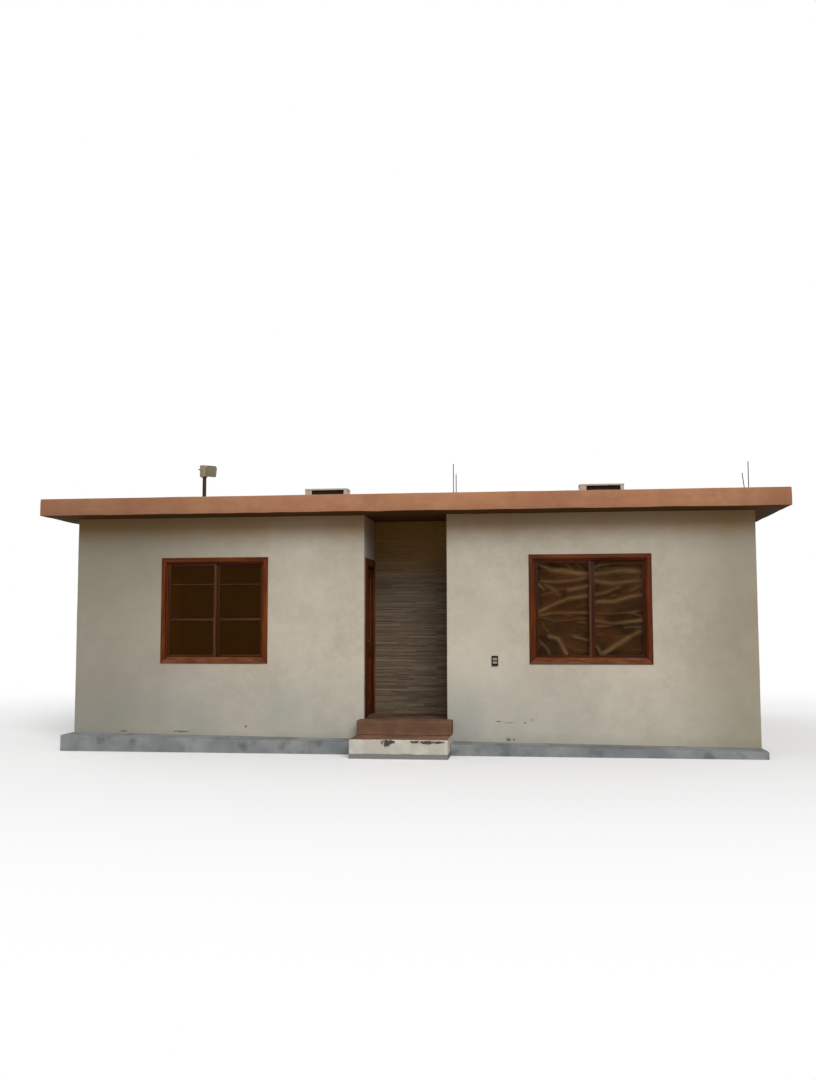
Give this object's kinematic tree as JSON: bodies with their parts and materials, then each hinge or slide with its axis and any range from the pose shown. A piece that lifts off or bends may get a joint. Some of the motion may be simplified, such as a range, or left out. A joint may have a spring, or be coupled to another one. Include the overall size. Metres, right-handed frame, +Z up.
{
  "type": "adobe house",
  "caption": "Small single-storey house with plastered walls, a flat overhanging roof slab, a clad entrance recess with a side door, framed windows and front steps",
  "frame": {"origin": "middle of the wall outline at the lowest ground level, on the foundation's underside", "axes": "+X to the right seen from the front, +Y from the front into the house, +Z up"},
  "size_m": [9.644, 8.222, 4.005],
  "materials": {
    "concrete": "rough blue-grey concrete",
    "floor_cement": "smooth cement floor",
    "porch_cement": "dark red-brown cement",
    "white_paint": "worn white paint on concrete",
    "terracotta_paint": "matt terracotta paint on concrete",
    "wall_plaster": "painted trowelled plaster",
    "ledger_stone": "split stone strips",
    "window_timber": "varnished red-brown timber",
    "window_glass": "clear glass over a dark room",
    "sun_sheet": "crumpled dark brown sheet",
    "door_timber": "dark varnished timber",
    "handle_steel": "brushed steel",
    "black_plastic": "black moulded plastic",
    "pale_enamel": "pale grey enamel",
    "coil_aluminium": "dark coil fins",
    "foot_rubber": "black rubber",
    "weathered_steel": "weathered painted steel",
    "lamp_enamel": "grey-green enamel",
    "rusty_bar": "rusty ribbed bar"
  },
  "bodies": {
    "house": {"foundation": "concrete", "front_ledge_left": "concrete", "front_ledge_right": "concrete", "back_ledge": "concrete", "floor_slab": "floor_cement", "porch_floor": "porch_cement", "lower_step": "white_paint", "upper_step": "terracotta_paint", "front_wall_left": "wall_plaster", "front_wall_right": "wall_plaster", "left_wall": "wall_plaster", "right_wall": "wall_plaster", "back_wall": "wall_plaster", "porch_back_wall": "wall_plaster", "porch_right_wall": "wall_plaster", "wall_over_door": "wall_plaster", "stone_cladding": "ledger_stone", "roof_slab": "terracotta_paint", "left_window_casing": "window_timber", "left_window_sash": "window_timber", "left_window_glass": "window_glass", "right_window_casing": "window_timber", "right_window_sash": "window_timber", "right_window_glass": "window_glass", "right_window_sheet": "sun_sheet", "side_window_casings": "window_timber", "side_window_sashes": "window_timber", "side_window_glass": "window_glass", "back_window_casings": "window_timber", "back_window_sashes": "window_timber", "back_window_glass": "window_glass", "door_frame": "window_timber", "hinge_pins": "handle_steel", "outlet_box": "black_plastic", "condenser_cases": "pale_enamel", "condenser_coils": "coil_aluminium", "condenser_fans": "black_plastic", "condenser_guards": "black_plastic", "condenser_feet": "foot_rubber", "lamp_pole": "weathered_steel", "lamp_head": "lamp_enamel", "bar_stubs": "rusty_bar"},
    "door": {"door_leaf": "door_timber", "door_handle": "handle_steel", "hinge_barrels": "handle_steel"}
  },
  "joints": [
    {"name": "door_hinge", "type": "hinge", "parent": "house", "child": "door", "pos_m": [-0.603, -2.644, 0], "axis": [0, 0, -1], "range_deg": [0, 90]}
  ]
}
